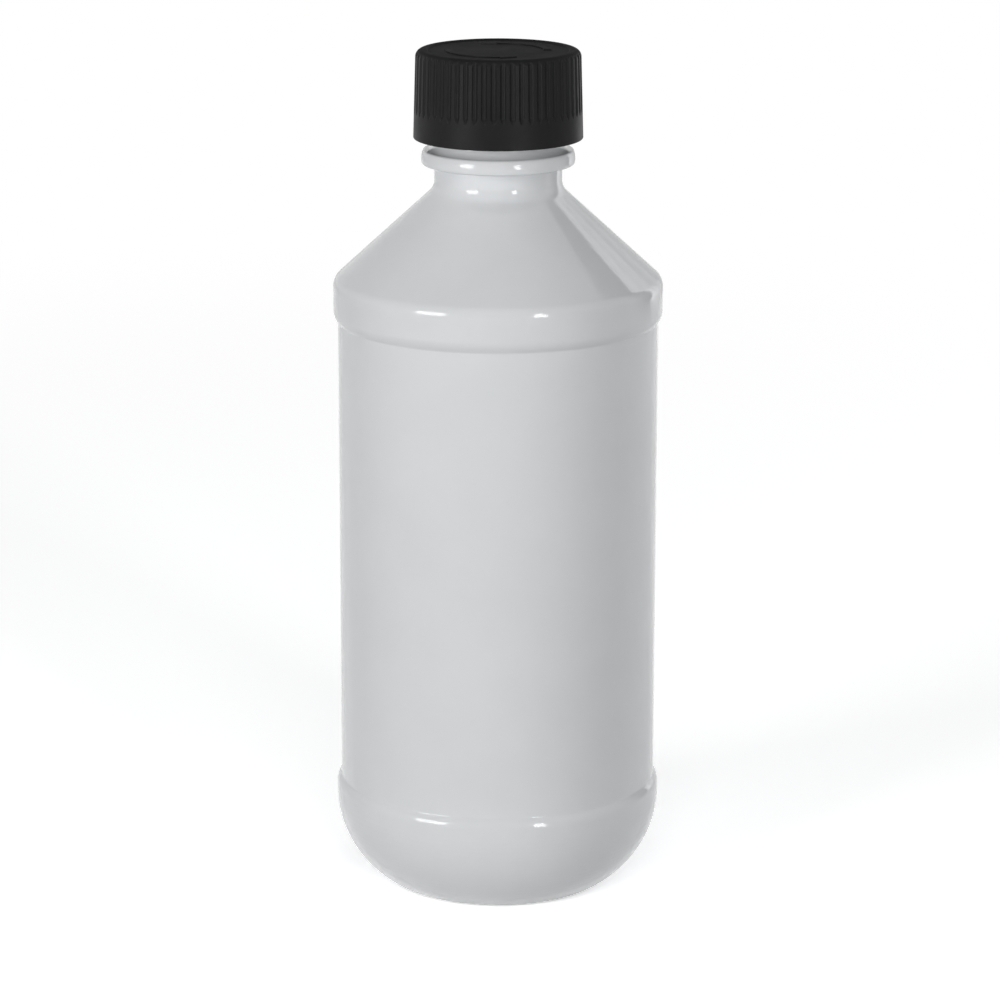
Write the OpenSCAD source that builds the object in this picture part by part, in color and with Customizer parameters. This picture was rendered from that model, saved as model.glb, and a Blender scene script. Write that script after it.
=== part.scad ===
// Child-resistant bottle: a blown bottle with a screw finish, closed by a push-and-turn cap.
// The outer cap spins freely on the inner cap until it is pressed down, when its lugs drop
// between the inner cap's lugs and unscrew it. A spring disc between the two lifts it again.
// Millimetres. The bottle stands on z = 0 and its axis is Z.

/* [Body] */
// Diameter of the shoulder band and of the base bumper
body_d = 56; // [50:0.5:70]
// Wall of the blown body
wall = 0.6; // [0.4:0.05:0.9]
// How far the label panel is set in from the band, on the radius
panel_recess = 0.75; // [0.4:0.05:1.1]
// Height of the straight wall of the label panel
panel_h = 80; // [40:0.1:120]
// Height of the straight wall of the base bumper
bumper_h = 1.2; // [0.5:0.05:6]
// Height of the straight wall of the shoulder band
band_h = 4; // [2:0.1:10]
// Rounding of the band's and the bumper's edges next to the panel
step_r = 2.7; // [2:0.1:5]
// Fillet at the foot of those edges, on the panel
step_fillet = 0.6; // [0.4:0.1:2]
// Rounding of the corner between the band and the cone
shoulder_r = 2.5; // [1.2:0.1:4]
// Height from the top of the band to where the cone meets the neck
shoulder_h = 16.9; // [12:0.1:22]
// Fillet where the cone meets the neck
neck_fillet = 3; // [1:0.1:4]

/* [Base] */
// Radius of the large curve of the heel
heel_r = 17.8; // [17:0.1:20]
// Height of that curve's centre above the floor
heel_z = 15.7; // [13:0.1:16.3]
// Rounding between the heel and the standing ring
foot_r = 3.75; // [2:0.05:6]
// Width of the flat ring that the bottle stands on
stand_w = 1; // [0.6:0.1:2]
// Height of the push-up at the middle of the base
pushup_h = 3.2; // [1.5:0.1:5]
// Diameter of the moulding point under the push-up
gate_d = 3.4; // [2:0.1:6]
// Height of the moulding point
gate_h = 0.5; // [0.3:0.1:1]

/* [Neck finish] */
// Height of the plain neck between the cone and the ring
neck_h = 4; // [2.5:0.1:8]
// How much the plain neck is wider than the finish, on the radius
neck_swell = 0.15; // [0:0.05:0.4]
// How far the ring stands out past the thread, on the radius
ring_reach = 1.2; // [0.6:0.1:2]
// Height of the ring
ring_h = 2.5; // [1.5:0.1:4]
// Rounding of the ring's edges
ring_edge_r = 0.45; // [0.2:0.05:0.7]
// Radius of the crown of the ring's outer face
ring_crown_r = 3.3; // [2.6:0.1:8]
// Height of the ring's widest point above its lower face
ring_crown_z = 1; // [0.8:0.05:1.4]
// Fillet between the ring's upper face and the finish
ring_fillet = 1.5; // [0.3:0.1:1.7]
// Wall of the finish at the mouth
finish_wall = 1.55; // [1.2:0.05:2]
// Rounding of the mouth's edges
lip_r = 0.35; // [0.2:0.05:0.5]

/* [Thread] */
// Diameter over the bottle's thread
thread_d = 23.6; // [21:0.1:30]
// Height of the bottle's thread above its wall
thread_depth = 1.15; // [0.9:0.05:1.3]
// Axial distance from one turn of the single thread to the next
pitch = 3.175; // [3:0.005:4.5]
// Turns of thread on the bottle and in the inner cap
thread_turns = 1.25; // [1:0.05:1.6]
// Axial width of both threads at their foot
thread_foot_w = 1.9; // [1.6:0.05:2]
// Axial width of both threads at their crest
thread_crest_w = 0.6; // [0.5:0.05:0.8]
// Distance from the mouth down to the middle of the thread's first turn
thread_start = 1.5; // [1.2:0.05:2.5]
// Axial play between the two threads when the cap is tight
thread_play = 0.15; // [0.1:0.05:0.3]
// Radial clearance between either thread and the wall that it faces
thread_clear = 0.25; // [0.2:0.05:0.35]

/* [Inner cap] */
// Wall of the inner cap's skirt
inner_wall = 0.8; // [0.6:0.05:1.2]
// Thickness of the inner cap's deck
deck_t = 1.1; // [0.8:0.05:1.6]
// Thickness of the foam liner
liner_t = 0.8; // [0.5:0.05:1.5]
// Radial clearance around the foam liner
liner_clear = 0.3; // [0.2:0.05:0.5]
// Margin of plain skirt under the inner cap's thread
skirt_margin = 0.3; // [0.2:0.05:1]

/* [Push and turn] */
// Travel of the outer cap when it is pressed down
push_travel = 1.5; // [1:0.05:2]
// Clearance left over the ring when the outer cap is pressed down
ring_clear = 0.4; // [0.3:0.05:1]
// Number of drive lugs on each cap
lug_count = 8; // [4:4:8]
// Width of a lug at its foot
lug_foot_w = 2.6; // [2:0.1:3]
// Width of a lug at its tip
lug_tip_w = 1.5; // [1:0.1:2]
// Distance from the axis to the inner end of a lug
lug_r0 = 8.9; // [8:0.1:9.5]
// Distance from the outer cap's bore to the outer end of a lug
lug_inset = 0.75; // [0.5:0.05:1.5]
// Gap between the tips of the two rings of lugs at rest
lug_gap = 0.45; // [0.3:0.05:0.7]
// Gap from a lug's tip to the face it comes down to, when pressed
lug_clear = 0.15; // [0.1:0.05:0.3]

/* [Spring disc] */
// Thickness of the spring disc
spring_t = 0.6; // [0.4:0.05:0.8]
// Clearance between the spring disc and the lugs around it
spring_clear = 0.4; // [0.3:0.05:0.8]
// Width of the flat ring that lies on the deck
spring_rim_w = 0.9; // [0.7:0.05:1.4]
// Outer radius of the pad that touches the outer cap
spring_pad_r = 3.7; // [3:0.1:4.5]
// Radius of the hole in that pad
spring_hole_r = 2.2; // [1.5:0.1:2.6]
// Number of sprung fingers between the ring and the pad
finger_count = 6; // [4:1:8]
// Width of the slots that part the fingers
finger_slot_w = 1.3; // [0.8:0.1:1.6]

/* [Outer cap] */
// Radial clearance between the two caps
shell_clear = 0.25; // [0.2:0.05:0.5]
// Wall of the outer cap at its lower edge
shell_wall = 1.22; // [1.2:0.01:1.8]
// Draft of the outer cap's side, in degrees
shell_draft = 1.6; // [0:0.1:1.8]
// Thickness of the outer cap's top
top_t = 1.1; // [0.9:0.05:1.6]
// Rounding of the outer cap's top edge
top_edge_r = 1.2; // [0.8:0.05:1.3]
// Height of the plain band below the ribs
plain_band_h = 4.2; // [3:0.1:7]
// Number of ribs around the outer cap
rib_count = 56; // [40:1:64]
// Depth of the grooves between the ribs
groove_depth = 0.32; // [0.2:0.01:0.35]
// Radius of the round cutter of a groove
groove_r = 0.5; // [0.4:0.01:0.55]
// Height over which a groove slopes out to the plain band
groove_runout = 1; // [0.4:0.1:2]
// How far the snap bead stands in from the bore
bead_reach = 0.5; // [0.4:0.05:0.6]
// Height of the snap bead
bead_h = 0.6; // [0.5:0.05:1]
// Distance from the lower edge up to the snap bead
bead_lead = 0.35; // [0.2:0.05:0.8]
// Play between the snap bead and the inner cap's lower edge
bead_play = 0.15; // [0.1:0.05:0.3]

/* [Top relief] */
// Width of the raised rim around the top
rim_w = 0.9; // [0.6:0.05:1.5]
// Depth of the field inside the rim
field_depth = 0.25; // [0.15:0.05:0.35]
// Height of the arrows above the field
arrow_h = 0.2; // [0.1:0.05:0.25]
// Radius of the middle of the curved arrows
arrow_r = 8.2; // [6.5:0.1:9]
// Width of the curved arrows' shafts
arrow_w = 1.3; // [0.8:0.1:1.6]
// Angle that each curved arrow spans, without its head
arrow_angle = 92; // [60:1:110]
// Length of an arrow's head
arrow_head = 2.8; // [2:0.1:3.2]

/* [Hidden] */
$fn = 96;

// Radii of the body and of the finish
body_r = body_d / 2;
panel_r = body_r - panel_recess;
thread_r = thread_d / 2;
finish_r = thread_r - thread_depth;
bore_r = finish_r - finish_wall;
neck_r = finish_r + neck_swell;
ring_r = thread_r + ring_reach;

// Base: the heel curve runs into the foot's rounding, which ends on the standing ring
heel_x = body_r - heel_r;
foot_x = heel_x + sqrt(pow(heel_r - foot_r, 2) - pow(heel_z - foot_r, 2));
foot_a = atan2(foot_r - heel_z, foot_x - heel_x);
stand_r = foot_x - stand_w;
dome_r = (pow(stand_r, 2) + pow(pushup_h, 2)) / (2 * pushup_h);
dome_z = pushup_h - dome_r;

// Steps beside the panel: a rounding and a fillet that meet at step_a
step_a = acos(1 - panel_recess / (step_r + step_fillet));
step_h = (step_r + step_fillet) * sin(step_a);
bumper_z1 = heel_z + bumper_h;
panel_z0 = bumper_z1 + step_h;
panel_z1 = panel_z0 + panel_h;
band_z0 = panel_z1 + step_h;
band_z1 = band_z0 + band_h;

// Cone: its outward normal leans up by cone_n, and its line meets the neck at neck_z0
neck_z0 = band_z1 + shoulder_h;
shoulder_x = body_r - shoulder_r - neck_r;
cone_n = atan2(shoulder_x, shoulder_h) + asin(shoulder_r / norm([shoulder_x, shoulder_h]));
ring_z0 = neck_z0 + neck_h;
ring_z1 = ring_z0 + ring_h;

// Ring: its edges' roundings meet the crowned face at the angles ring_a0 and ring_a1
ring_x = ring_r - ring_crown_r;
ring_edge_x = ring_crown_r - ring_edge_r;
ring_a0 = -asin((ring_crown_z - ring_edge_r) / ring_edge_x);
ring_a1 = asin((ring_h - ring_edge_r - ring_crown_z) / ring_edge_x);

// Thread: the inner cap's thread follows the bottle's, thread_drop lower
thread_slope = (thread_foot_w - thread_crest_w) / thread_depth;
cap_bore_r = thread_r + thread_clear;
cap_crest_r = finish_r + thread_clear;
thread_drop = thread_foot_w - thread_slope * (cap_bore_r - finish_r) / 2 + thread_play;
thread_sink = 0.3;
thread_rise = pitch * thread_turns;
run_out = 0.12;
thread_steps = 32;
ring_steps = ceil(thread_steps * thread_turns);

// Stack of the closure, from the ring to the top
shell_z0 = ring_z1 + push_travel + ring_clear;
bead_z0 = shell_z0 + bead_lead;
bead_z1 = bead_z0 + bead_h;
inner_z0 = bead_z1 + bead_play;
cap_thread_z = inner_z0 + skirt_margin + thread_foot_w / 2;
thread_z = cap_thread_z + thread_drop;
lip_z = thread_z + thread_rise + thread_start;
deck_z = lip_z + liner_t;
deck_top = deck_z + deck_t;
lug_h = push_travel + lug_clear - lug_gap;
shell_ceiling = deck_top + 2 * lug_h + lug_gap;
top_z = shell_ceiling + top_t;

// Radii of the closure
inner_r = cap_bore_r + inner_wall;
shell_bore_r = inner_r + shell_clear;
shell_r = shell_bore_r + shell_wall;
lug_r1 = inner_r - lug_inset;
spring_r = lug_r0 - spring_clear;
field_r = shell_side_r(top_z) - top_edge_r - rim_w + field_depth;
groove_z = shell_z0 + plain_band_h;
edge_bevel = 0.15;
overlap = 0.1;

// Radius of the outer cap's drafted side at height z
function shell_side_r(z) = shell_r - (z - shell_z0) * tan(shell_draft);

// Points of an arc around c, from angle a0 to a1
function arc(c, r, a0, a1, n = 10) =
    [for (i = [0:n]) let (a = a0 + (a1 - a0) * i / n) [c[0] + r * cos(a), c[1] + r * sin(a)]];

// Height of the centre of a fillet between the cone, set in by w, and a wall of radius r
function cone_fillet_z(r, fillet, w) =
    neck_z0 + ((neck_r - r - fillet) * cos(cone_n) + fillet - w) / sin(cone_n);

// Outline of the body from the middle of the base to the cone, set in by w
function body_curve(w) = concat(
    arc([0, dome_z], dome_r + w, 90, asin((w - dome_z) / (dome_r + w)), 8),
    arc([foot_x, foot_r], foot_r - w, -90, foot_a, 10),
    arc([heel_x, heel_z], heel_r - w, foot_a, 0, 16),
    arc([body_r - step_r, bumper_z1], step_r - w, 0, step_a, 6),
    arc([panel_r + step_fillet, panel_z0], step_fillet + w, 180 + step_a, 180, 6),
    arc([panel_r + step_fillet, panel_z1], step_fillet + w, 180, 180 - step_a, 6),
    arc([body_r - step_r, band_z0], step_r - w, -step_a, 0, 6),
    arc([body_r - shoulder_r, band_z1], shoulder_r - w, 0, cone_n, 8)
);

// Outline of the neck, the ring and the mouth, down to the top of the bore
function finish_curve() = concat(
    arc([neck_r + neck_fillet, cone_fillet_z(neck_r, neck_fillet, 0)], neck_fillet, 180 + cone_n, 180, 6),
    [[neck_r, ring_z0]],
    arc([ring_x + ring_edge_x * cos(ring_a0), ring_z0 + ring_edge_r], ring_edge_r, -90, ring_a0, 5),
    arc([ring_x, ring_z0 + ring_crown_z], ring_crown_r, ring_a0, ring_a1, 6),
    arc([ring_x + ring_edge_x * cos(ring_a1), ring_z1 - ring_edge_r], ring_edge_r, ring_a1, 90, 5),
    arc([finish_r + ring_fillet, ring_z1 + ring_fillet], ring_fillet, 270, 180, 6),
    arc([finish_r - lip_r, lip_z - lip_r], lip_r, 0, 90, 4),
    arc([bore_r + lip_r, lip_z - lip_r], lip_r, 90, 180, 4)
);

function reversed(list) = [for (i = [len(list) - 1:-1:0]) list[i]];

// Outline of the bore and the inside of the body, from the mouth to the base
function inside_curve() = reversed(concat(
    body_curve(wall),
    arc([bore_r + neck_fillet, cone_fillet_z(bore_r, neck_fillet, wall)], neck_fillet, 180 + cone_n, 180, 6)
));

// A single-start helical thread with ends that run out into the wall it stands on.
// root_r is inside that wall, wall_r its surface, and crest_r the thread's crest.
module helical_thread(root_r, wall_r, crest_r, root_w, crest_w) {
    start_r = wall_r + (root_r - wall_r) / 3;
    rings = [for (i = [0:ring_steps]) let (
        t = i / ring_steps,
        full = min(1, t / run_out, (1 - t) / run_out),
        r = start_r + (crest_r - start_r) * full,
        a = 360 * thread_turns * t,
        z = thread_rise * t
    ) [for (p = [[root_r, -root_w], [r, -crest_w], [r, crest_w], [root_r, root_w]])
        [p[0] * cos(a), p[0] * sin(a), z + p[1] / 2]]];
    side = [for (i = [0:ring_steps - 1], j = [0:3]) let (
        a = 4 * i + j,
        b = 4 * i + (j + 1) % 4
    ) each [[a, b, b + 4], [a, b + 4, a + 4]]];
    last = 4 * ring_steps;
    ends = [[0, 3, 2, 1], [last, last + 1, last + 2, last + 3]];
    outward = crest_r > wall_r;
    faces = concat(side, ends);
    polyhedron(
        points = [for (ring = rings) each ring],
        faces = outward ? faces : [for (f = faces) reversed(f)]
    );
}

// A ring of drive lugs that stand on z = 0, turned by a0
module lugs(a0, foot) {
    for (i = [0:lug_count - 1])
        rotate(a0 + i * 360 / lug_count)
            translate([lug_r0, 0, 0])
                rotate([90, 0, 90])
                    linear_extrude(lug_r1 - lug_r0)
                        polygon([
                            [-lug_foot_w / 2, -foot],
                            [lug_foot_w / 2, -foot],
                            [lug_foot_w / 2, 0],
                            [lug_tip_w / 2, lug_h],
                            [-lug_tip_w / 2, lug_h],
                            [-lug_foot_w / 2, 0]
                        ]);
}

// One blown piece: body, cone, neck, ring and threaded mouth
module bottle() {
    color([0.85, 0.86, 0.88]) {
        rotate_extrude()
            polygon(concat(body_curve(0), finish_curve(), inside_curve()));
        translate([0, 0, pushup_h - gate_h])
            cylinder(d = gate_d, h = gate_h + wall / 2);
        translate([0, 0, thread_z])
            helical_thread(
                finish_r - thread_sink, finish_r, thread_r,
                thread_foot_w + thread_sink * thread_slope, thread_crest_w
            );
    }
}

// Foam disc that seals on the mouth
module liner() {
    color([0.93, 0.92, 0.88])
        translate([0, 0, lip_z])
            cylinder(r = cap_bore_r - liner_clear, h = liner_t);
}

// One moulded piece: threaded skirt, deck and drive lugs
module inner_cap() {
    color([0.90, 0.90, 0.88]) {
        rotate_extrude()
            polygon([
                [0, deck_z],
                [cap_bore_r, deck_z],
                [cap_bore_r, inner_z0 + edge_bevel],
                [cap_bore_r + edge_bevel, inner_z0],
                [inner_r - edge_bevel, inner_z0],
                [inner_r, inner_z0 + edge_bevel],
                [inner_r, deck_top - edge_bevel],
                [inner_r - edge_bevel, deck_top],
                [0, deck_top]
            ]);
        translate([0, 0, cap_thread_z])
            helical_thread(
                cap_bore_r + thread_sink, cap_bore_r, cap_crest_r,
                thread_foot_w + thread_sink * thread_slope, thread_crest_w
            );
        translate([0, 0, deck_top])
            lugs(0, overlap);
    }
}

// One moulded piece: a ring on the deck and sprung fingers that carry a pad
module spring_disc() {
    free_h = shell_ceiling - deck_top;
    foot_r0 = spring_r - spring_rim_w;
    color([0.80, 0.82, 0.84])
        translate([0, 0, deck_top])
            difference() {
                rotate_extrude()
                    polygon([
                        [foot_r0 - spring_t, 0],
                        [spring_r, 0],
                        [spring_r, spring_t],
                        [foot_r0, spring_t],
                        [spring_pad_r, free_h],
                        [spring_hole_r, free_h],
                        [spring_hole_r, free_h - spring_t],
                        [spring_pad_r - spring_t / 2, free_h - spring_t]
                    ]);
                for (i = [0:finger_count - 1])
                    rotate(i * 360 / finger_count)
                        translate([spring_pad_r, -finger_slot_w / 2, -overlap])
                            cube([foot_r0 - spring_pad_r, finger_slot_w, free_h + 2 * overlap]);
            }
}

// Side and top of the outer cap as one closed outline, with the snap bead inside
module shell_outline() {
    edge_z = top_z - top_edge_r;
    edge_x = shell_side_r(edge_z + top_edge_r * sin(shell_draft)) - top_edge_r * cos(shell_draft);
    polygon(concat(
        [
            [shell_bore_r, shell_z0 + edge_bevel],
            [shell_bore_r + edge_bevel, shell_z0],
            [shell_r - edge_bevel, shell_z0],
            [shell_r, shell_z0 + edge_bevel]
        ],
        arc([edge_x, edge_z], top_edge_r, shell_draft, 90, 8),
        [
            [field_r, top_z],
            [field_r - field_depth, top_z - field_depth],
            [0, top_z - field_depth],
            [0, shell_ceiling],
            [shell_bore_r, shell_ceiling],
            [shell_bore_r, bead_z1 + bead_reach / 2],
            [shell_bore_r - bead_reach, bead_z1],
            [shell_bore_r - bead_reach, bead_z0 + bead_reach / 2],
            [shell_bore_r, bead_z0]
        ]
    ));
}

// A round-bottomed groove between two ribs, leaning with the side of the cap. Its lower end
// is a cone, which meets the side at z = 0 and has the groove's full depth groove_runout higher.
module groove() {
    cone_h = groove_runout * groove_r / groove_depth;
    groove_h = top_z - groove_z + overlap;
    rotate([0, -shell_draft, 0])
        rotate_extrude($fn = 24)
            polygon([
                [0, groove_runout - cone_h],
                [groove_r, groove_runout],
                [groove_r, groove_h],
                [0, groove_h]
            ]);
}

// A curved arrow with its head, standing on z = 0
module curved_arrow() {
    rotate_extrude(angle = arrow_angle)
        translate([arrow_r - arrow_w / 2, -overlap])
            square([arrow_w, arrow_h + overlap]);
    rotate(arrow_angle)
        translate([arrow_r, 0, -overlap])
            linear_extrude(arrow_h + overlap)
                polygon([[-arrow_w, -overlap], [arrow_w, -overlap], [0, arrow_head]]);
}

// One moulded piece: ribbed shell with drive lugs, a snap bead and two arrows
module outer_cap() {
    color([0.16, 0.16, 0.165]) {
        difference() {
            rotate_extrude()
                shell_outline();
            for (i = [0:rib_count - 1])
                rotate((i + 0.5) * 360 / rib_count)
                    translate([shell_side_r(groove_z) + groove_r - groove_depth, 0, groove_z])
                        groove();
        }
        translate([0, 0, shell_ceiling])
            mirror([0, 0, 1])
                lugs(180 / lug_count, overlap);
        for (a = [0, 180])
            rotate(a)
                translate([0, 0, top_z - field_depth])
                    curved_arrow();
    }
}

bottle();
liner();
inner_cap();
spring_disc();
outer_cap();
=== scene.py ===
import math

import bmesh
import bpy
import numpy as np
from mathutils import Euler, Matrix, Vector


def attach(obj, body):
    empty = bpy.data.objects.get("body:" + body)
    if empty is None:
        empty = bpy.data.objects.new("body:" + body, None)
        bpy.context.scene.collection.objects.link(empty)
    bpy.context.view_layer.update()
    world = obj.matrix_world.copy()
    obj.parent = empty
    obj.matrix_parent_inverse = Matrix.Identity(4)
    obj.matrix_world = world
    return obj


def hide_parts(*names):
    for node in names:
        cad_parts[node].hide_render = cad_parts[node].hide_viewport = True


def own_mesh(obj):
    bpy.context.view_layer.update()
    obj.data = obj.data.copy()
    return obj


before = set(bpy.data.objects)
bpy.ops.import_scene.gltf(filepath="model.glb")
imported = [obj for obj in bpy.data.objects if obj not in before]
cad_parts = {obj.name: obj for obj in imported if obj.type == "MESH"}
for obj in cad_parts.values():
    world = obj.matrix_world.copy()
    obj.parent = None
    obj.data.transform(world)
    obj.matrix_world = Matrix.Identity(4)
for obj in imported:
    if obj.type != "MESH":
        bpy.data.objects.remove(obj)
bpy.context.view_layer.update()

MM = 0.001

# Sizes, in millimetres
BODY_R, WALL, PANEL_R = 28.0, 0.6, 27.25
HEEL_R, HEEL_Z, FOOT_R, STAND_W = 17.8, 15.7, 3.75, 1.0
PUSHUP_H, GATE_R, GATE_H = 3.2, 1.7, 0.5
BUMPER_H, PANEL_H, BAND_H = 1.2, 80.0, 4.0
STEP_R, STEP_FILLET, SHOULDER_R, SHOULDER_H, NECK_FILLET = 2.7, 0.6, 2.5, 16.9, 3.0
NECK_R, FINISH_R, RING_R, BORE_R = 10.8, 10.65, 13.0, 9.1
NECK_H, RING_H, RING_EDGE_R, LIP_R = 4.0, 2.5, 0.45, 0.35
RING_CROWN_R, RING_CROWN_Z, RING_FILLET = 3.3, 1.0, 1.5
THREAD_R, PITCH, TURNS, THREAD_PLAY = 11.8, 3.175, 1.25, 0.15
THREAD_FOOT_W, THREAD_CREST_W, THREAD_START, RUN_OUT = 1.9, 0.6, 1.5, 0.12
CAP_BORE_R, CAP_CREST_R, INNER_R, SKIRT_MARGIN = 12.05, 10.9, 12.85, 0.3
LINER_R, LINER_T, DECK_T = 11.75, 0.8, 1.1
PUSH_TRAVEL, RING_CLEAR, BEAD_LEAD, BEAD_H, BEAD_PLAY, BEAD_REACH = 1.5, 0.4, 0.35, 0.6, 0.15, 0.5
LUG_COUNT, LUG_FOOT_W, LUG_TIP_W, LUG_R0, LUG_R1, LUG_H, LUG_GAP = 8, 2.6, 1.5, 8.9, 12.1, 1.2, 0.45
SPRING_T, SPRING_R, SPRING_RIM_W, PAD_R, PAD_HOLE_R, FINGERS, SLOT_W = 0.6, 8.5, 0.9, 3.7, 2.2, 6, 1.3
SHELL_BORE_R, SHELL_R, DRAFT, TOP_T, TOP_EDGE_R = 13.1, 14.32, math.radians(1.6), 1.1, 1.2
PLAIN_BAND_H, RIBS, GROOVE_DEPTH, GROOVE_R, GROOVE_RUNOUT = 4.2, 56, 0.32, 0.5, 1.0
RIM_W, FIELD_DEPTH = 0.9, 0.25
ARROW_H, ARROW_R, ARROW_W, ARROW_ANGLE, ARROW_HEAD = 0.2, 8.2, 1.3, 92.0, 2.8
ARROW_EDGE_R, ARROW_DRAFT, LUG_EDGE_R = 0.07, 0.02, 0.15
# How deep a lug or an arrow reaches into the face it stands on
SUNK = 0.1

heel_x = BODY_R - HEEL_R
foot_x = heel_x + math.sqrt((HEEL_R - FOOT_R) ** 2 - (HEEL_Z - FOOT_R) ** 2)
foot_a = math.degrees(math.atan2(FOOT_R - HEEL_Z, foot_x - heel_x))
stand_r = foot_x - STAND_W
dome_r = (stand_r ** 2 + PUSHUP_H ** 2) / (2 * PUSHUP_H)
dome_z = PUSHUP_H - dome_r
step_a = math.degrees(math.acos(1 - (BODY_R - PANEL_R) / (STEP_R + STEP_FILLET)))
step_h = (STEP_R + STEP_FILLET) * math.sin(math.radians(step_a))
bumper_z1 = HEEL_Z + BUMPER_H
panel_z0 = bumper_z1 + step_h
panel_z1 = panel_z0 + PANEL_H
band_z0 = panel_z1 + step_h
band_z1 = band_z0 + BAND_H
neck_z0 = band_z1 + SHOULDER_H
shoulder_x = BODY_R - SHOULDER_R - NECK_R
cone_lean = math.asin(SHOULDER_R / math.hypot(shoulder_x, SHOULDER_H))
cone_n = math.degrees(math.atan2(shoulder_x, SHOULDER_H) + cone_lean)
ring_z0 = neck_z0 + NECK_H
ring_z1 = ring_z0 + RING_H
shell_z0 = ring_z1 + PUSH_TRAVEL + RING_CLEAR
bead_z0 = shell_z0 + BEAD_LEAD
bead_z1 = bead_z0 + BEAD_H
inner_z0 = bead_z1 + BEAD_PLAY
cap_thread_z = inner_z0 + SKIRT_MARGIN + THREAD_FOOT_W / 2
thread_slope = (THREAD_FOOT_W - THREAD_CREST_W) / (THREAD_R - FINISH_R)
thread_z = cap_thread_z + THREAD_FOOT_W - thread_slope * (CAP_BORE_R - FINISH_R) / 2 + THREAD_PLAY
lip_z = thread_z + PITCH * TURNS + THREAD_START
deck_z = lip_z + LINER_T
deck_top = deck_z + DECK_T
ceiling_z = deck_top + 2 * LUG_H + LUG_GAP
top_z = ceiling_z + TOP_T
groove_z = shell_z0 + PLAIN_BAND_H
edge_z = top_z - TOP_EDGE_R


def side_r(z):
    """Radius of the outer cap's drafted side at height z."""
    return SHELL_R - (z - shell_z0) * math.tan(DRAFT)


# Outlines
def arc(x, z, r, a0, a1, step=4.0):
    """Points of an arc around (x, z), one for about every step degrees."""
    n = max(2, math.ceil(abs(a1 - a0) / step))
    angles = [math.radians(a0 + (a1 - a0) * i / n) for i in range(n + 1)]
    return [(x + r * math.cos(a), z + r * math.sin(a)) for a in angles]


def rounded(corners, step=15.0):
    """A closed outline from corners (x, z, radius)."""
    out = []
    for i, (x, z, r) in enumerate(corners):
        if not r:
            out.append((x, z))
            continue
        p = np.array([x, z])
        u = np.array(corners[i - 1][:2]) - p
        v = np.array(corners[(i + 1) % len(corners)][:2]) - p
        u, v = u / np.linalg.norm(u), v / np.linalg.norm(v)
        half = math.acos(max(-1.0, min(1.0, float(u @ v)))) / 2
        c = p + (u + v) / np.linalg.norm(u + v) * r / math.sin(half)
        a, b = p + u * r / math.tan(half) - c, p + v * r / math.tan(half) - c
        a0, a1 = math.degrees(math.atan2(a[1], a[0])), math.degrees(math.atan2(b[1], b[0]))
        turn = (a1 - a0 + 180) % 360 - 180
        out += arc(c[0], c[1], r, a0, a0 + turn, step)
    return out


def turned(points, a):
    """The points (x, y) turned by a radians."""
    c, s = math.cos(a), math.sin(a)
    return [(x * c - y * s, x * s + y * c) for x, y in points]


def guarded(outline, closed=True, margin=0.08, least=0.5):
    """Adds a point near both ends of each long straight stretch, to keep its smooth shading flat."""
    out = []
    count = len(outline)
    for i in range(count):
        p = np.array(outline[i])
        out.append(tuple(p))
        if i == count - 1 and not closed:
            break
        q = np.array(outline[(i + 1) % count])
        length = np.linalg.norm(q - p)
        if length > least and not (p[0] < 1e-6 and q[0] < 1e-6):
            out.append(tuple(p + (q - p) * margin / length))
            out.append(tuple(q - (q - p) * margin / length))
    return out


def tidy(outline):
    """The outline without points that lie on each other."""
    out = []
    for p in outline:
        if not out or math.dist(p, out[-1]) > 1e-5:
            out.append(p)
    if math.dist(out[0], out[-1]) <= 1e-5:
        out.pop()
    return out


def body_curve(w):
    """Outline of the body from the middle of the base to the cone, set in by w."""
    points = []
    coarser = 2 if w else 1
    for x, z, r, a0, a1, step in (
        (0, dome_z, dome_r + w, 90, math.degrees(math.asin((w - dome_z) / (dome_r + w))), 2),
        (foot_x, FOOT_R, FOOT_R - w, -90, foot_a, 4),
        (heel_x, HEEL_Z, HEEL_R - w, foot_a, 0, 3),
        (BODY_R - STEP_R, bumper_z1, STEP_R - w, 0, step_a, 3),
        (PANEL_R + STEP_FILLET, panel_z0, STEP_FILLET + w, 180 + step_a, 180, 4),
        (PANEL_R + STEP_FILLET, panel_z1, STEP_FILLET + w, 180, 180 - step_a, 4),
        (BODY_R - STEP_R, band_z0, STEP_R - w, -step_a, 0, 3),
        (BODY_R - SHOULDER_R, band_z1, SHOULDER_R - w, 0, cone_n, 3),
    ):
        points += arc(x, z, r, a0, a1, step * coarser)
    return points


def neck_arc(r, w):
    """The fillet between the cone, set in by w, and a wall of radius r."""
    a = math.radians(cone_n)
    z = neck_z0 + ((NECK_R - r - NECK_FILLET) * math.cos(a) + NECK_FILLET - w) / math.sin(a)
    return arc(r + NECK_FILLET, z, NECK_FILLET, 180 + cone_n, 180)


# Meshes
def make(name, points, faces, sharp=32.0):
    """A smooth-shaded object from points in millimetres. Edges over sharp degrees stay sharp."""
    mesh = bpy.data.meshes.new(name)
    mesh.from_pydata([(x * MM, y * MM, z * MM) for x, y, z in points], [], faces)
    obj = bpy.data.objects.new(name, mesh)
    bpy.context.scene.collection.objects.link(obj)
    finish_shading(obj, sharp)
    return obj


def finish_shading(obj, sharp=32.0):
    mesh = obj.data
    mesh.polygons.foreach_set("use_smooth", [True] * len(mesh.polygons))
    mesh.set_sharp_from_angle(angle=math.radians(sharp))
    mesh.update()


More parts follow.
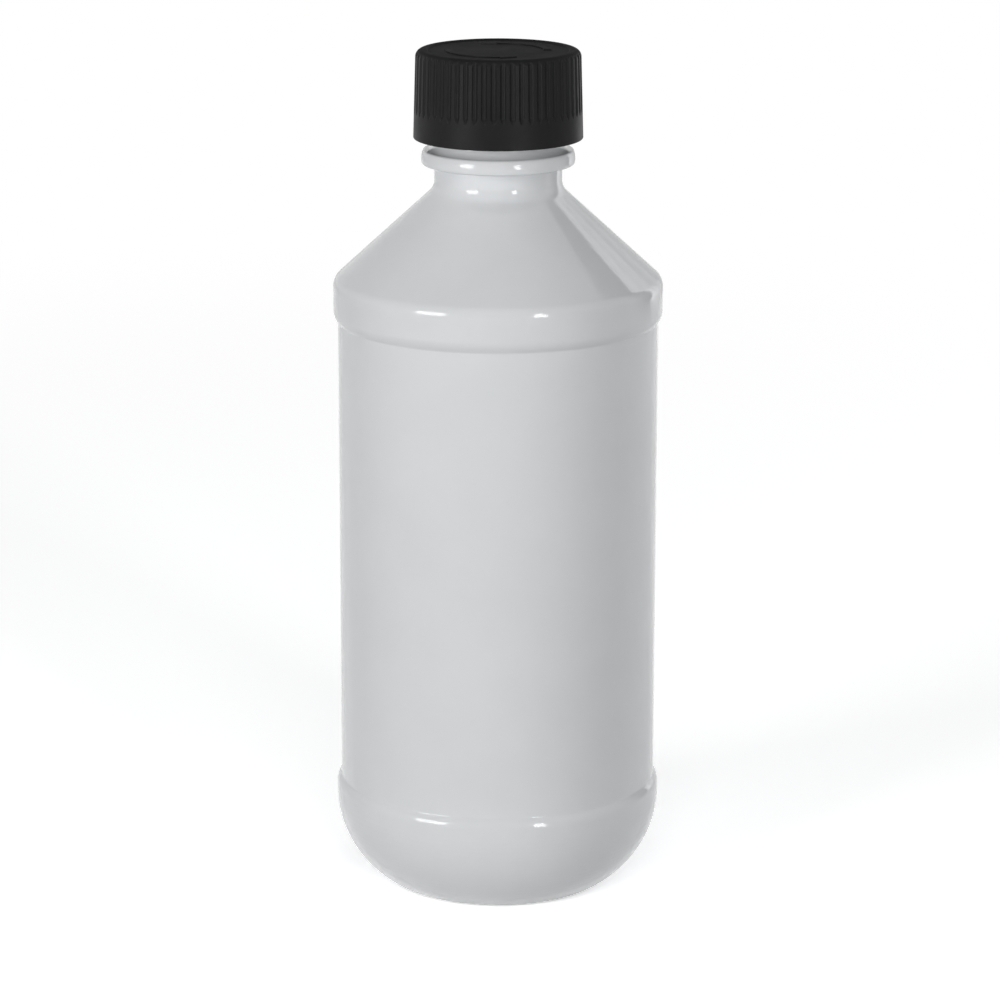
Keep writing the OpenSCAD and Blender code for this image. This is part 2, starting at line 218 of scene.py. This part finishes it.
def grid(columns, outline):
    """Points and faces of an outline swept round the axis. columns gives the angle of each
    column. Points on the axis become poles."""
    points, rows, faces = [], [], []
    count = len(columns)
    for r, z in outline:
        if r < 1e-6:
            rows.append([len(points)])
            points.append((0.0, 0.0, z))
            continue
        rows.append(list(range(len(points), len(points) + count)))
        for a in columns:
            points.append((r * math.cos(a), r * math.sin(a), z))
    for i in range(len(rows)):
        a, b = rows[i], rows[(i + 1) % len(rows)]
        if len(a) == 1 and len(b) == 1:
            continue
        for k in range(count):
            n = (k + 1) % count
            if len(a) == 1:
                faces.append((a[0], b[n], b[k]))
            elif len(b) == 1:
                faces.append((a[k], a[n], b[0]))
            else:
                faces.append((a[k], a[n], b[n], b[k]))
    return points, faces


def lathe(name, outline, segments=256, sharp=32.0):
    """A closed outline, anticlockwise in (radius, height), turned round the axis."""
    columns = [2 * math.pi * k / segments for k in range(segments)]
    return make(name, *grid(columns, tidy(guarded(tidy(outline)))), sharp=sharp)


def combine(obj, others, operation="UNION", sharp=32.0):
    """Joins the closed meshes others to obj, or cuts them out of it, and removes them."""
    for other in others:
        m = obj.modifiers.new(other.name, "BOOLEAN")
        m.operation = operation
        m.solver = "EXACT"
        m.object = other
    bpy.context.view_layer.update()
    mesh = bpy.data.meshes.new_from_object(obj.evaluated_get(bpy.context.evaluated_depsgraph_get()))
    mesh.name = obj.name
    obj.modifiers.clear()
    obj.data = mesh
    for other in others:
        bpy.data.objects.remove(other)
    finish_shading(obj, sharp)
    return obj


def thread(name, wall_r, crest_r, z0, steps=96):
    """A single-start thread with a rounded crest and filleted foot. Its ends run out into its wall."""
    out = 1 if crest_r > wall_r else -1
    height = abs(crest_r - wall_r)
    sunk, root, foot_r, crest_round = 0.02, 0.3, 0.3, 0.22
    foot, crest = THREAD_FOOT_W / 2, THREAD_CREST_W / 2
    section = rounded([
        (-root, -foot - foot_r, 0),
        (-sunk, -foot - foot_r, 0),
        (-sunk, -foot, foot_r),
        (height, -crest, crest_round),
        (height, crest, crest_round),
        (-sunk, foot, foot_r),
        (-sunk, foot + foot_r, 0),
        (-root, foot + foot_r, 0),
    ], 12)
    count = len(section)
    rings = round(steps * TURNS)
    points, faces = [], []
    for i in range(rings + 1):
        t = i / rings
        full = max(0.0, min(1.0, t / RUN_OUT, (1 - t) / RUN_OUT))
        full = full * full * (3 - 2 * full)
        a = 2 * math.pi * TURNS * t
        for x, z in section:
            r = wall_r + out * (-sunk + (x + sunk) * full if x > -sunk else x)
            points.append((r * math.cos(a), r * math.sin(a), z0 + PITCH * TURNS * t + z))
    for i in range(rings):
        for j in range(count):
            a, b = i * count + j, i * count + (j + 1) % count
            faces.append((a, b, b + count, a + count))
    faces.append(tuple(range(count))[::-1])
    faces.append(tuple(rings * count + j for j in range(count)))
    if out < 0:
        faces = [f[::-1] for f in faces]
    return make(name, points, faces)


def prism(name, outline, z0, z1, bevel, draft):
    """An outline, anticlockwise in (x, y), raised from z0 to z1 with its upper edges rounded."""
    bm = bmesh.new()
    low = [bm.verts.new((x, y, z0)) for x, y in outline]
    ring = len(outline)
    high = []
    for i in range(ring):
        p = np.array(outline[i])
        d = np.array(outline[(i + 1) % ring]) - np.array(outline[i - 1])
        inwards = np.array([-d[1], d[0]]) / np.linalg.norm(d)
        q = p + inwards * draft
        high.append(bm.verts.new((q[0], q[1], z1)))
    bm.faces.new(low[::-1])
    top = bm.faces.new(high)
    for i in range(ring):
        n = (i + 1) % ring
        bm.faces.new((low[i], low[n], high[n], high[i]))
    bmesh.ops.bevel(bm, geom=list(top.edges), offset=bevel, segments=3, affect="EDGES", profile=0.5)
    points = [tuple(v.co) for v in bm.verts]
    faces = [tuple(v.index for v in f.verts) for f in bm.faces]
    bm.free()
    return make(name, points, faces)


def lug_ring(name, a0, z, up):
    """Drive lugs on the face at height z, pointing up or down, with their edges rounded."""
    made = []
    foot, tip = LUG_FOOT_W / 2, LUG_TIP_W / 2
    side = [(-foot, -SUNK), (foot, -SUNK), (foot, 0), (tip, LUG_H), (-tip, LUG_H), (-foot, 0)]
    for i in range(LUG_COUNT):
        bm = bmesh.new()
        ends = [[bm.verts.new((x, y, h)) for y, h in side] for x in (LUG_R0, LUG_R1)]
        bm.faces.new(ends[0][::-1])
        bm.faces.new(ends[1])
        for k in range(len(side)):
            n = (k + 1) % len(side)
            bm.faces.new((ends[0][k], ends[0][n], ends[1][n], ends[1][k]))
        soft = [e for e in bm.edges if max(v.co.z for v in e.verts) > LUG_H - 1e-6]
        bmesh.ops.bevel(bm, geom=soft, offset=LUG_EDGE_R, segments=3, affect="EDGES", profile=0.5)
        bmesh.ops.recalc_face_normals(bm, faces=bm.faces)
        if not up:
            for v in bm.verts:
                v.co.z = -v.co.z
            bmesh.ops.reverse_faces(bm, faces=bm.faces)
        turn = Matrix.Rotation(a0 + 2 * math.pi * i / LUG_COUNT, 3, "Z")
        for v in bm.verts:
            v.co = turn @ v.co
            v.co.z += z
        points = [tuple(v.co) for v in bm.verts]
        faces = [tuple(v.index for v in f.verts) for f in bm.faces]
        bm.free()
        made.append(make(f"{name}_{i}", points, faces))
    return made


# Bottle
def build_bottle():
    gate_z, gate_edge_r = PUSHUP_H - GATE_H, 0.2
    on_dome = dome_z + math.sqrt(dome_r ** 2 - (GATE_R + gate_edge_r) ** 2)
    gate = arc(GATE_R - gate_edge_r, gate_z + gate_edge_r, gate_edge_r, -90, 0, 15)
    gate += [(GATE_R, on_dome - 0.15), (GATE_R + 0.06, on_dome - 0.05)]
    under = [p for p in body_curve(0) if p[0] > GATE_R + 0.15]
    under_ring_r = 0.3
    finish = neck_arc(NECK_R, 0) + [(NECK_R, ring_z0 - under_ring_r)]
    finish += arc(NECK_R + under_ring_r, ring_z0 - under_ring_r, under_ring_r, 180, 90, 15)
    crown_x, edge_x = RING_R - RING_CROWN_R, RING_CROWN_R - RING_EDGE_R
    a0 = -math.degrees(math.asin((RING_CROWN_Z - RING_EDGE_R) / edge_x))
    a1 = math.degrees(math.asin((RING_H - RING_EDGE_R - RING_CROWN_Z) / edge_x))
    low_x = crown_x + edge_x * math.cos(math.radians(a0))
    high_x = crown_x + edge_x * math.cos(math.radians(a1))
    finish += arc(low_x, ring_z0 + RING_EDGE_R, RING_EDGE_R, -90, a0, 7.5)
    finish += arc(crown_x, ring_z0 + RING_CROWN_Z, RING_CROWN_R, a0, a1, 3)
    finish += arc(high_x, ring_z1 - RING_EDGE_R, RING_EDGE_R, a1, 90, 7.5)
    finish += arc(FINISH_R + RING_FILLET, ring_z1 + RING_FILLET, RING_FILLET, 270, 180, 7.5)
    finish += arc(FINISH_R - LIP_R, lip_z - LIP_R, LIP_R, 0, 90, 9)
    finish += arc(BORE_R + LIP_R, lip_z - LIP_R, LIP_R, 90, 180, 9)
    inside = body_curve(WALL) + neck_arc(BORE_R, WALL)
    outline = [(0, gate_z)] + gate + under + finish + inside[::-1]
    obj = lathe("bottle_body", outline, 236)
    combine(obj, [thread("bottle_thread", FINISH_R, THREAD_R, thread_z)])
    return obj


# Closure
def build_liner():
    edge_r = 0.12
    outline = [(0, lip_z, 0), (LINER_R, lip_z, edge_r), (LINER_R, deck_z, edge_r), (0, deck_z, 0)]
    return lathe("foam_liner", rounded(outline), 192)


def build_inner_cap():
    outline = rounded([
        (0, deck_z, 0), (CAP_BORE_R, deck_z, 0.25), (CAP_BORE_R, inner_z0, 0.15),
        (INNER_R, inner_z0, 0.2), (INNER_R, deck_top, 0.3), (0, deck_top, 0)
    ])
    obj = lathe("inner_cap_body", outline)
    combine(obj, [thread("inner_cap_thread", CAP_BORE_R, CAP_CREST_R, cap_thread_z)])
    combine(obj, lug_ring("inner_lug", 0, deck_top, True))
    return obj


def build_spring():
    foot_r0, half = SPRING_R - SPRING_RIM_W, SLOT_W / 2
    edge_r, corner_r, bend_r, pad_bend_r, past = 0.12, 0.3, 0.4, 0.6, 0.5
    outline = rounded([
        (foot_r0 - SPRING_T, deck_top, 0), (SPRING_R, deck_top, edge_r),
        (SPRING_R, deck_top + SPRING_T, edge_r), (foot_r0, deck_top + SPRING_T, bend_r),
        (PAD_R, ceiling_z, pad_bend_r), (PAD_HOLE_R, ceiling_z, edge_r),
        (PAD_HOLE_R, ceiling_z - SPRING_T, edge_r),
        (PAD_R - SPRING_T / 2, ceiling_z - SPRING_T, bend_r)
    ])
    obj = lathe("spring_fingers", outline, 192)
    corners = ((PAD_R, -half), (foot_r0, -half), (foot_r0, half), (PAD_R, half))
    cutters = []
    for i in range(FINGERS):
        slot = turned(rounded([(x, y, corner_r) for x, y in corners]), 2 * math.pi * i / FINGERS)
        low, high = deck_top - past, ceiling_z + past
        n = len(slot)
        points = [(x, y, low) for x, y in slot] + [(x, y, high) for x, y in slot]
        faces = [tuple(range(n))[::-1], tuple(range(n, 2 * n))]
        faces += [(k, (k + 1) % n, n + (k + 1) % n, n + k) for k in range(n)]
        cutters.append(make(f"slot_{i}", points, faces))
    return combine(obj, cutters, "DIFFERENCE")


def groove_depth(u, reach):
    """Depth of a groove at u mm from its middle, with a softened crest. reach is the cutter's
    radius, and past edge the cutter goes on as a straight line."""
    axis, corner = GROOVE_R - GROOVE_DEPTH, 0.05
    if reach <= axis:
        return 0.0
    edge = 0.88 * reach
    level = math.sqrt(reach ** 2 - edge ** 2)
    if u < edge:
        depth = math.sqrt(reach ** 2 - u * u) - axis
    else:
        depth = level - axis - edge / level * (u - edge)
    return 0.5 * (depth + math.sqrt(depth ** 2 + corner ** 2)) if depth >= 0 else 0.0


def build_outer_cap():
    pitch = 2 * math.pi / RIBS
    mean_r = side_r((groove_z + edge_z) / 2)
    # columns across a groove, at these distances from its middle, and one on the crest beside it
    half = [0.1, 0.2, 0.3, 0.37, 0.43, 0.49, 0.58]
    across = [-u for u in half[::-1]] + [0] + half + [pitch * mean_r / 2]
    columns = [(i + 0.5) * pitch + u / mean_r for i in range(RIBS) for u in across]
    offsets = [abs(u) for u in across] * RIBS

    def ribbed(z, plain_r, reach):
        side = side_r(z)
        return lambda k: min(plain_r, side - max(side - plain_r, groove_depth(offsets[k], reach)))

    edge_x = side_r(edge_z + TOP_EDGE_R * math.sin(DRAFT)) - TOP_EDGE_R * math.cos(DRAFT)
    cone_h = GROOVE_RUNOUT * GROOVE_R / GROOVE_DEPTH
    lower_r = 0.2
    outside = arc(SHELL_R - lower_r, shell_z0 + lower_r, lower_r, -90, 0, 15)
    outside += [(side_r(z), z) for z in (shell_z0 + 0.3, groove_z - 0.1)]
    for h in np.linspace(0, GROOVE_RUNOUT, 13):
        z = groove_z + h
        outside.append((ribbed(z, side_r(z), GROOVE_R * (h - GROOVE_RUNOUT + cone_h) / cone_h), z))
    for z in (groove_z + GROOVE_RUNOUT + 0.1, edge_z - 0.05):
        outside.append((ribbed(z, side_r(z), GROOVE_R), z))
    for r, z in arc(edge_x, edge_z, TOP_EDGE_R, math.degrees(DRAFT), 90, 4.5):
        outside.append((ribbed(z, r, GROOVE_R), z))
    field_r = side_r(top_z) - TOP_EDGE_R - RIM_W + FIELD_DEPTH
    floor_z = top_z - FIELD_DEPTH
    foot_r = field_r - FIELD_DEPTH
    field = [(edge_x, top_z, 0), (field_r, top_z, 0.1), (foot_r, floor_z, 0.12), (0, floor_z, 0)]
    outside += rounded(field)[1:-1] + [(foot_r - 0.3, floor_z)]
    bead_r, edge_r = SHELL_BORE_R - BEAD_REACH, 0.1
    inside = rounded([
        (0, ceiling_z, 0), (SHELL_BORE_R, ceiling_z, 0.4),
        (SHELL_BORE_R, bead_z1 + BEAD_REACH / 2, edge_r), (bead_r, bead_z1, edge_r),
        (bead_r, bead_z0 + BEAD_REACH / 2, edge_r), (SHELL_BORE_R, bead_z0, edge_r),
        (SHELL_BORE_R, shell_z0, edge_r)
    ], 18)
    inside = guarded(inside, closed=False)

    # the ribbed side with one column in four carried on over the flat faces and the inside
    count = len(columns)
    step = 4
    points, faces, fine = [], [], []
    for r, z in outside:
        fine.append(len(points))
        for k, a in enumerate(columns):
            radius = r(k) if callable(r) else r
            points.append((radius * math.cos(a), radius * math.sin(a), z))
    for low, high in zip(fine, fine[1:]):
        for k in range(count):
            n = (k + 1) % count
            faces.append((low + k, low + n, high + n, high + k))
    coarse = columns[::step]
    few = len(coarse)

    def ring(r, z):
        first = len(points)
        for a in coarse:
            points.append((r * math.cos(a), r * math.sin(a), z))
        return first

    def stitch(fine_ring, coarse_ring, up):
        for j in range(few):
            n = (j + 1) % few
            run = [fine_ring + (j * step + i) % count for i in range(step + 1)]
            face = run + [coarse_ring + n, coarse_ring + j]
            faces.append(tuple(face if up else face[::-1]))

    def pole(ring_start, z, up):
        middle = len(points)
        points.append((0.0, 0.0, z))
        for j in range(few):
            n = (j + 1) % few
            face = (ring_start + j, ring_start + n, middle)
            faces.append(face if up else face[::-1])

    top_ring = ring(foot_r - 0.5, floor_z)
    stitch(fine[-1], top_ring, True)
    pole(top_ring, floor_z, True)
    rings = [ring(r, z) for r, z in inside[1:]]
    pole(rings[0], ceiling_z, False)
    for a, b in zip(rings, rings[1:]):
        for j in range(few):
            n = (j + 1) % few
            faces.append((a + j, a + n, b + n, b + j))
    stitch(fine[0], rings[-1], False)
    obj = make("outer_cap_shell", points, faces)
    combine(obj, lug_ring("outer_lug", math.pi / LUG_COUNT, ceiling_z, False))
    combine(obj, [curved_arrow(f"arrow_{i}", i * math.pi, floor_z) for i in range(2)])
    return obj


def curved_arrow(name, turn, z):
    """A raised arrow that curves the way the cap is turned to open it."""
    end = math.radians(ARROW_ANGLE)
    outer, inner = ARROW_R + ARROW_W / 2, ARROW_R - ARROW_W / 2
    angles = [end * i / 32 for i in range(33)]
    outline = [(outer * math.cos(a), outer * math.sin(a)) for a in angles]
    outline += turned([(ARROW_R + ARROW_W, 0), (ARROW_R, ARROW_HEAD), (ARROW_R - ARROW_W, 0)], end)
    outline += [(inner * math.cos(a), inner * math.sin(a)) for a in angles[::-1]]
    outline = turned(outline, turn)
    return prism(name, outline, z - SUNK, z + ARROW_H, ARROW_EDGE_R, ARROW_DRAFT)


# Materials
def nodes_for(name):
    mat = bpy.data.materials.new(name)
    mat.use_nodes = True
    tree = mat.node_tree
    shader = tree.nodes["Principled BSDF"]
    place = tree.nodes.new("ShaderNodeTexCoord")
    return mat, tree, shader, place.outputs["Object"]


def noise(tree, place, scale, detail=3.0, roughness=0.55):
    n = tree.nodes.new("ShaderNodeTexNoise")
    n.inputs["Scale"].default_value = scale
    n.inputs["Detail"].default_value = detail
    n.inputs["Roughness"].default_value = roughness
    tree.links.new(place, n.inputs["Vector"])
    return n.outputs["Fac"]


def ramp(tree, value, low, high, start=0.3, end=0.7):
    """A colour that goes from low to high as value goes from start to end."""
    r = tree.nodes.new("ShaderNodeValToRGB")
    r.color_ramp.elements[0].position, r.color_ramp.elements[1].position = start, end
    r.color_ramp.elements[0].color, r.color_ramp.elements[1].color = (*low, 1), (*high, 1)
    tree.links.new(value, r.inputs["Fac"])
    return r.outputs["Color"]


def spread(tree, value, low, high):
    """A number that goes from low to high with value."""
    m = tree.nodes.new("ShaderNodeMapRange")
    m.inputs["From Min"].default_value, m.inputs["From Max"].default_value = 0.3, 0.7
    m.inputs["To Min"].default_value, m.inputs["To Max"].default_value = low, high
    tree.links.new(value, m.inputs["Value"])
    return m.outputs["Result"]


def bump(tree, shader, height, strength, distance, after=None):
    b = tree.nodes.new("ShaderNodeBump")
    b.inputs["Strength"].default_value = strength
    b.inputs["Distance"].default_value = distance
    tree.links.new(height, b.inputs["Height"])
    if after is not None:
        tree.links.new(after, b.inputs["Normal"])
    tree.links.new(b.outputs["Normal"], shader.inputs["Normal"])
    return b.outputs["Normal"]


def rougher_on_top(tree, roughness, more):
    """Roughness raised on faces that look upwards, as on a matt textured top."""
    parts = tree.nodes.new("ShaderNodeSeparateXYZ")
    tree.links.new(tree.nodes.new("ShaderNodeNewGeometry").outputs["Normal"], parts.inputs["Vector"])
    m = tree.nodes.new("ShaderNodeMapRange")
    m.inputs["From Min"].default_value, m.inputs["From Max"].default_value = 0.3, 0.9
    m.inputs["To Min"].default_value, m.inputs["To Max"].default_value = 0.0, more
    tree.links.new(parts.outputs["Z"], m.inputs["Value"])
    total = tree.nodes.new("ShaderNodeMath")
    tree.links.new(roughness, total.inputs[0])
    tree.links.new(m.outputs["Result"], total.inputs[1])
    return total.outputs["Value"]


def plastic(name, low, high, rough, grain, depth, wave=0.0, specular=0.5, subsurface=0.0, matt_top=0.0):
    """Moulded plastic. low and high are its colour's ends, rough its roughness's, grain the texture's
    scale and depth its height in metres, and wave the height of a blown wall's slow unevenness."""
    mat, tree, shader, place = nodes_for(name)
    tree.links.new(ramp(tree, noise(tree, place, 90.0), low, high), shader.inputs["Base Color"])
    roughness = spread(tree, noise(tree, place, 260.0, 4.0), *rough)
    if matt_top:
        roughness = rougher_on_top(tree, roughness, matt_top)
    tree.links.new(roughness, shader.inputs["Roughness"])
    shader.inputs["Specular IOR Level"].default_value = specular
    if subsurface:
        shader.inputs["Subsurface Weight"].default_value = subsurface
        shader.inputs["Subsurface Radius"].default_value = (1.0, 1.0, 1.0)
        shader.inputs["Subsurface Scale"].default_value = 0.0006
    fine = bump(tree, shader, noise(tree, place, grain, 4.0, 0.6), 1.0, depth)
    if wave:
        bump(tree, shader, noise(tree, place, 45.0, 1.5, 0.4), 1.0, wave, fine)
    return mat


bottle_white = plastic(
    "bottle_white", (0.785, 0.80, 0.815), (0.805, 0.82, 0.835), rough=(0.07, 0.10),
    grain=2200.0, depth=0.0000015, wave=0.00001, subsurface=0.5)
cap_black = plastic(
    "cap_black", (0.0105, 0.0105, 0.0107), (0.0135, 0.0135, 0.0138), rough=(0.38, 0.48),
    grain=5200.0, depth=0.000004, specular=0.1, matt_top=0.5)
inner_natural = plastic(
    "inner_cap_natural", (0.79, 0.79, 0.76), (0.81, 0.81, 0.785), rough=(0.30, 0.38),
    grain=3000.0, depth=0.000002)
spring_natural = plastic(
    "spring_natural", (0.71, 0.72, 0.73), (0.73, 0.74, 0.75), rough=(0.30, 0.40),
    grain=3000.0, depth=0.000002)


def foam_material():
    """Closed-cell foam: fine cells under a slightly uneven skin."""
    mat, tree, shader, place = nodes_for("liner_foam")
    cells = tree.nodes.new("ShaderNodeTexVoronoi")
    cells.inputs["Scale"].default_value = 4200.0
    tree.links.new(place, cells.inputs["Vector"])
    colour = ramp(tree, cells.outputs["Distance"], (0.88, 0.87, 0.82), (0.80, 0.79, 0.73), 0.1, 0.8)
    tree.links.new(colour, shader.inputs["Base Color"])
    tree.links.new(spread(tree, noise(tree, place, 500.0), 0.72, 0.85), shader.inputs["Roughness"])
    bump(tree, shader, cells.outputs["Distance"], 1.0, 0.00004)
    return mat


liner_foam = foam_material()

for build, material, node, body, slot in (
    (build_bottle, bottle_white, "bottle", "bottle", "bottle_white"),
    (build_liner, liner_foam, "liner", "seal", "liner_foam"),
    (build_inner_cap, inner_natural, "inner_cap", "inner_cap", "inner_cap_natural"),
    (build_spring, spring_natural, "spring_disc", "spring", "spring_natural"),
    (build_outer_cap, cap_black, "outer_cap", "outer_cap", "cap_black"),
):
    piece = build()
    piece.data.materials.clear()
    piece.data.materials.append(material)
    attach(piece, body)
    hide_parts(node)
    if node == "spring_disc":
        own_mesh(piece)

# Floor and background
floor_mesh = bpy.data.meshes.new("floor")
FLOOR = 3.0
corners = [(x * FLOOR, y * FLOOR, 0) for x, y in ((-1, -1), (1, -1), (1, 1), (-1, 1))]
floor_mesh.from_pydata(corners, [], [(0, 1, 2, 3)])
floor = bpy.data.objects.new("floor", floor_mesh)
bpy.context.scene.collection.objects.link(floor)

scene = bpy.context.scene
world = bpy.data.worlds.new("studio")
scene.world = world
world.use_nodes = True
wt = world.node_tree
wt.nodes.clear()
out = wt.nodes.new("ShaderNodeOutputWorld")
path = wt.nodes.new("ShaderNodeLightPath")


def either(tree, a, b):
    m = tree.nodes.new("ShaderNodeMath")
    m.operation = "MAXIMUM"
    tree.links.new(a, m.inputs[0])
    tree.links.new(b, m.inputs[1])
    return m.outputs["Value"]


def seen(tree, light_path):
    """1 where a camera, glossy or transmission ray looks."""
    rays = light_path.outputs
    direct = either(tree, rays["Is Camera Ray"], rays["Is Glossy Ray"])
    return either(tree, direct, rays["Is Transmission Ray"])


# Strength of the studio's pale surround where it lights the object
SURROUND = 0.21
# The floor's albedo to the object, and its own glow and its response to light to what looks at it
FLOOR_ALBEDO, FLOOR_GLOW, FLOOR_SHADE = 0.46, 0.3, 1.9
# Distances from the object over which the floor fades to plain white for the camera, in metres
FADE_FROM, FADE_TO = 0.2, 0.6
dim = wt.nodes.new("ShaderNodeBackground")
dim.inputs["Color"].default_value = (0.98, 0.99, 1.0, 1)
dim.inputs["Strength"].default_value = SURROUND
white = wt.nodes.new("ShaderNodeBackground")
white.inputs["Color"].default_value = (1, 1, 1, 1)
white.inputs["Strength"].default_value = 1.0
mix = wt.nodes.new("ShaderNodeMixShader")
wt.links.new(seen(wt, path), mix.inputs["Fac"])
wt.links.new(dim.outputs["Background"], mix.inputs[1])
wt.links.new(white.outputs["Background"], mix.inputs[2])
wt.links.new(mix.outputs["Shader"], out.inputs["Surface"])

# To what looks at it the floor is white and keeps the object's shadow. To the object it is pale.
floor_mat = bpy.data.materials.new("pale_floor")
floor_mat.use_nodes = True
ft = floor_mat.node_tree
ft.nodes.clear()
floor_path = ft.nodes.new("ShaderNodeLightPath")
floor_mix = ft.nodes.new("ShaderNodeMixShader")
glow = ft.nodes.new("ShaderNodeEmission")
glow.inputs["Strength"].default_value = FLOOR_GLOW
lit = ft.nodes.new("ShaderNodeAddShader")
ft.links.new(glow.outputs["Emission"], lit.inputs[0])
far = ft.nodes.new("ShaderNodeVectorMath")
far.operation = "LENGTH"
ft.links.new(ft.nodes.new("ShaderNodeTexCoord").outputs["Object"], far.inputs[0])
fade = ft.nodes.new("ShaderNodeMapRange")
fade.interpolation_type = "SMOOTHSTEP"
fade.inputs["From Min"].default_value, fade.inputs["From Max"].default_value = FADE_FROM, FADE_TO
ft.links.new(far.outputs["Value"], fade.inputs["Value"])
to_camera = ft.nodes.new("ShaderNodeMath")
to_camera.operation = "MULTIPLY"
ft.links.new(fade.outputs["Result"], to_camera.inputs[0])
ft.links.new(floor_path.outputs["Is Camera Ray"], to_camera.inputs[1])
plain = ft.nodes.new("ShaderNodeEmission")
plain.inputs["Strength"].default_value = 1.0
faded = ft.nodes.new("ShaderNodeMixShader")
ft.links.new(to_camera.outputs["Value"], faded.inputs["Fac"])
ft.links.new(lit.outputs["Shader"], faded.inputs[1])
ft.links.new(plain.outputs["Emission"], faded.inputs[2])
ft.links.new(faded.outputs["Shader"], floor_mix.inputs[2])
for level, target in ((FLOOR_ALBEDO, floor_mix.inputs[1]), (FLOOR_SHADE, lit.inputs[1])):
    d = ft.nodes.new("ShaderNodeBsdfDiffuse")
    d.inputs["Color"].default_value = (level, level, level, 1)
    ft.links.new(d.outputs["BSDF"], target)
ft.links.new(seen(ft, floor_path), floor_mix.inputs["Fac"])
floor_out = ft.nodes.new("ShaderNodeOutputMaterial")
ft.links.new(floor_mix.outputs["Shader"], floor_out.inputs["Surface"])
floor_mesh.materials.append(floor_mat)


# Lights
def lamp(name, azimuth, elevation, width, height, power, reflected=True):
    """A soft rectangular lamp that faces the middle of the object. Azimuth 0 is the camera's side."""
    data = bpy.data.lights.new(name, "AREA")
    data.shape = "RECTANGLE"
    data.size, data.size_y = width, height
    data.energy = power
    a, e = math.radians(azimuth), math.radians(elevation)
    back = Vector((math.sin(a) * math.cos(e), -math.cos(a) * math.cos(e), math.sin(e)))
    obj = bpy.data.objects.new(name, data)
    obj.location = Vector((0, 0, LAMP_AIM_Z)) + back * LAMP_DISTANCE
    obj.rotation_euler = (-back).to_track_quat("-Z", "Y").to_euler()
    obj.visible_glossy = reflected
    scene.collection.objects.link(obj)


LAMP_AIM_Z, LAMP_DISTANCE = 0.08, 1.2
lamp("left_lamp", -47, 9, 0.46, 0.42, 5.2)
lamp("right_lamp", 29, 7, 0.18, 0.56, 3.3)
lamp("rear_panel", 130, 6, 0.50, 0.50, 3.0, reflected=False)
lamp("left_fill", -45, 8, 0.50, 0.40, 0.4, reflected=False)
lamp("low_fill", -8, 0, 0.50, 0.14, 0.5, reflected=False)
lamp("front_fill", 2, 38, 0.50, 0.40, 1.35, reflected=False)


def card(name, az0, az1, level):
    """A curved upright card around the object that only reflections see, as bright as level."""
    count = 8
    points, faces = [], []
    for i in range(count + 1):
        a = math.radians(az0 + (az1 - az0) * i / count)
        points += [(CARD_R * math.sin(a), -CARD_R * math.cos(a), z) for z in (CARD_Z0, CARD_Z1)]
    for i in range(count):
        faces.append((2 * i, 2 * i + 1, 2 * i + 3, 2 * i + 2))
    mesh = bpy.data.meshes.new(name)
    mesh.from_pydata(points, [], faces)
    obj = bpy.data.objects.new(name, mesh)
    mat = bpy.data.materials.new(name)
    mat.use_nodes = True
    tree = mat.node_tree
    tree.nodes.clear()
    shine = tree.nodes.new("ShaderNodeEmission")
    shine.inputs["Strength"].default_value = level
    surface = tree.nodes.new("ShaderNodeOutputMaterial").inputs["Surface"]
    tree.links.new(shine.outputs["Emission"], surface)
    mesh.materials.append(mat)
    obj.visible_camera = obj.visible_diffuse = obj.visible_shadow = obj.visible_transmission = False
    scene.collection.objects.link(obj)


CARD_R, CARD_Z0, CARD_Z1 = 0.5, 0.002, 0.68
card("dark_wall_edge", 108, 116, 0.6)
card("dark_wall", 116, 131, 0.2)
for az0, az1, level in ((131, 137, 2.0), (137, 145, 1.5), (145, 155, 1.0), (155, 170, 0.75)):
    card(f"window_{az0}", az0, az1, level)

# Camera
ELEVATION, DISTANCE, TARGET_Z, ROLL = math.radians(14.45), 0.6798, 0.06997, math.radians(0.07)
camera = bpy.data.cameras.new("camera")
camera.lens, camera.sensor_width = 142.2, 36.0
camera.shift_x, camera.shift_y = 0.00216, -0.015
camera.clip_start, camera.clip_end = 0.05, 20.0
eye = bpy.data.objects.new("camera", camera)
eye.location = (0, -DISTANCE * math.cos(ELEVATION), TARGET_Z + DISTANCE * math.sin(ELEVATION))
tilt = Euler((math.pi / 2 - ELEVATION, 0, 0)).to_matrix()
eye.rotation_euler = (tilt @ Matrix.Rotation(ROLL, 3, "Z")).to_euler()
scene.collection.objects.link(eye)
scene.camera = eye
scene.view_settings.view_transform = "Standard"
